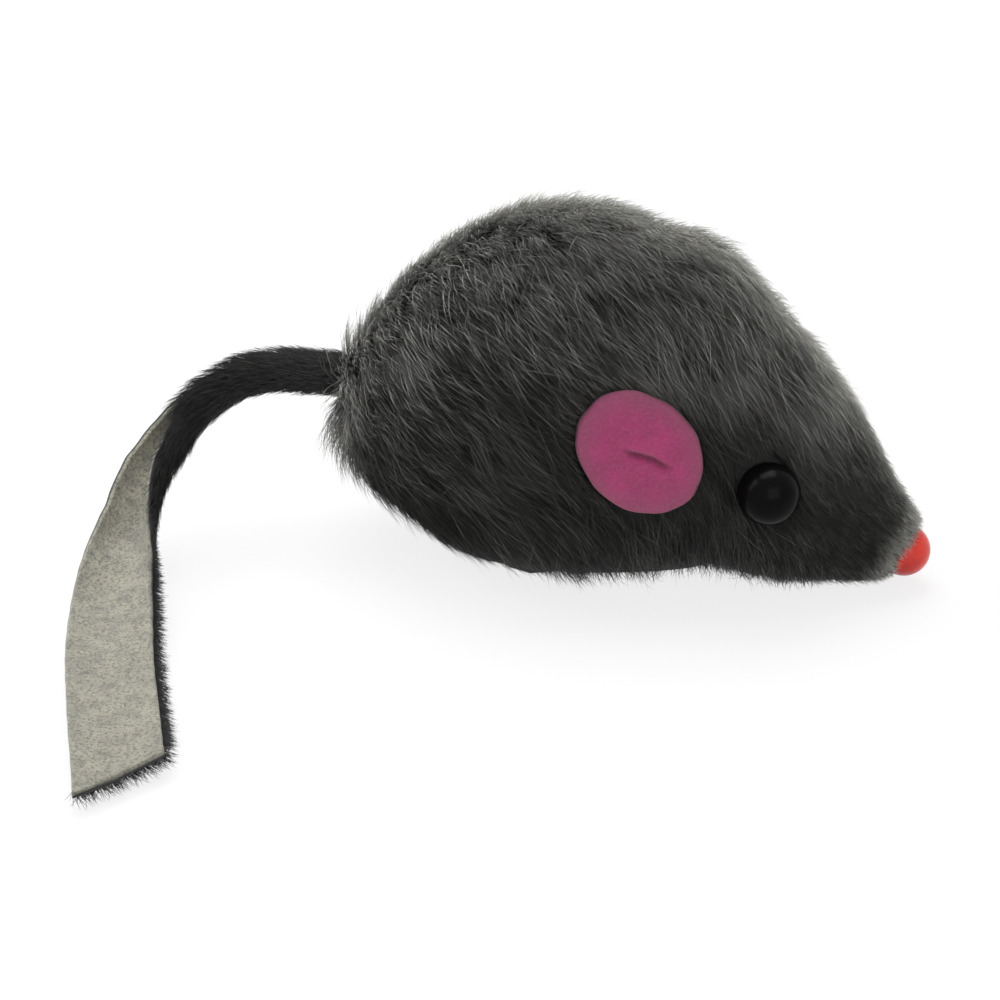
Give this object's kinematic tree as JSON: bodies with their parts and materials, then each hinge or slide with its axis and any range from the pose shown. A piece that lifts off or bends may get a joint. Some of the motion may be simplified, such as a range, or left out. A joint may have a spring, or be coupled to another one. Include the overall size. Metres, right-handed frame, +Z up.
{
  "type": "clockwork mouse",
  "caption": "Clockwork toy mouse: grey furred body with felt ears, bead eyes and nose, strip tail, side key, geared spring motor and driven wheels.",
  "frame": {"origin": "middle of the footprint of mouse, tail and key, on the floor", "axes": "+X towards the nose, +Y towards the key on the mouse's left, +Z up"},
  "size_m": [0.1024, 0.1066, 0.0453],
  "materials": {
    "grey_fur": "dark grey short-haired pelt",
    "tail_fur": "pale suede side, grey fur under it",
    "pink_felt": "pink felt",
    "black_bead": "glossy",
    "red_bead": "glossy",
    "black_plastic": "moulded",
    "grey_plastic": "moulded",
    "rubber": "matt",
    "tinplate": "bright tinned sheet",
    "steel": "turned and plated",
    "spring_steel": "blued strip",
    "brass": "stamped"
  },
  "bodies": {
    "body": {"pelt": "grey_fur", "tail": "tail_fur", "ear_left": "pink_felt", "ear_right": "pink_felt", "eye_left": "black_bead", "eye_right": "black_bead", "nose": "red_bead", "body_shell": "black_plastic", "chassis": "black_plastic", "chassis_screw_rear": "steel", "chassis_screw_left": "steel", "chassis_screw_right": "steel", "front_pin": "steel", "motor_plate_left": "tinplate", "motor_plate_right": "tinplate", "pillar_low_rear": "tinplate", "pillar_low_front": "tinplate", "pillar_front": "tinplate", "pillar_rear": "tinplate", "mainspring": "spring_steel"},
    "winder": {"winding_key": "steel", "winding_arbor": "steel", "ratchet_wheel": "steel"},
    "great_wheel_body": {"great_wheel": "brass", "click_spring": "spring_steel", "click_rivet": "steel"},
    "second_body": {"second_arbor": "steel", "second_pinion": "steel", "second_wheel": "brass"},
    "drive_body": {"drive_axle": "steel", "axle_pinion": "steel", "drive_wheel_left": "grey_plastic", "drive_wheel_right": "grey_plastic", "drive_tyre_left": "rubber", "drive_tyre_right": "rubber"},
    "roller_body": {"front_roller": "grey_plastic"}
  },
  "joints": [
    {"name": "key_turn", "type": "hinge", "parent": "body", "child": "winder", "pos_m": [0.004, 0.01928, 0.02192], "axis": [0, -1, 0], "range_deg": [0, 1440], "deforming": ["mainspring", "click_spring"]},
    {"name": "drive_spin", "type": "hinge", "parent": "body", "child": "drive_body", "pos_m": [0.00143, 0.01928, 0.007], "axis": [0, 1, 0], "continuous": true},
    {"name": "second_spin", "type": "hinge", "parent": "body", "child": "second_body", "pos_m": [0.00756, 0.01928, 0.01214], "axis": [0, 1, 0], "continuous": true},
    {"name": "great_wheel_spin", "type": "hinge", "parent": "body", "child": "great_wheel_body", "pos_m": [0.004, 0.01928, 0.02192], "axis": [0, 1, 0], "continuous": true},
    {"name": "roller_spin", "type": "hinge", "parent": "body", "child": "roller_body", "pos_m": [0.01993, 0.01928, 0.004], "axis": [0, 1, 0], "continuous": true}
  ],
  "couplings": [
    {"joint": "second_spin", "follows": "drive_spin", "ratio": -0.33333},
    {"joint": "great_wheel_spin", "follows": "drive_spin", "ratio": 0.079365}
  ]
}
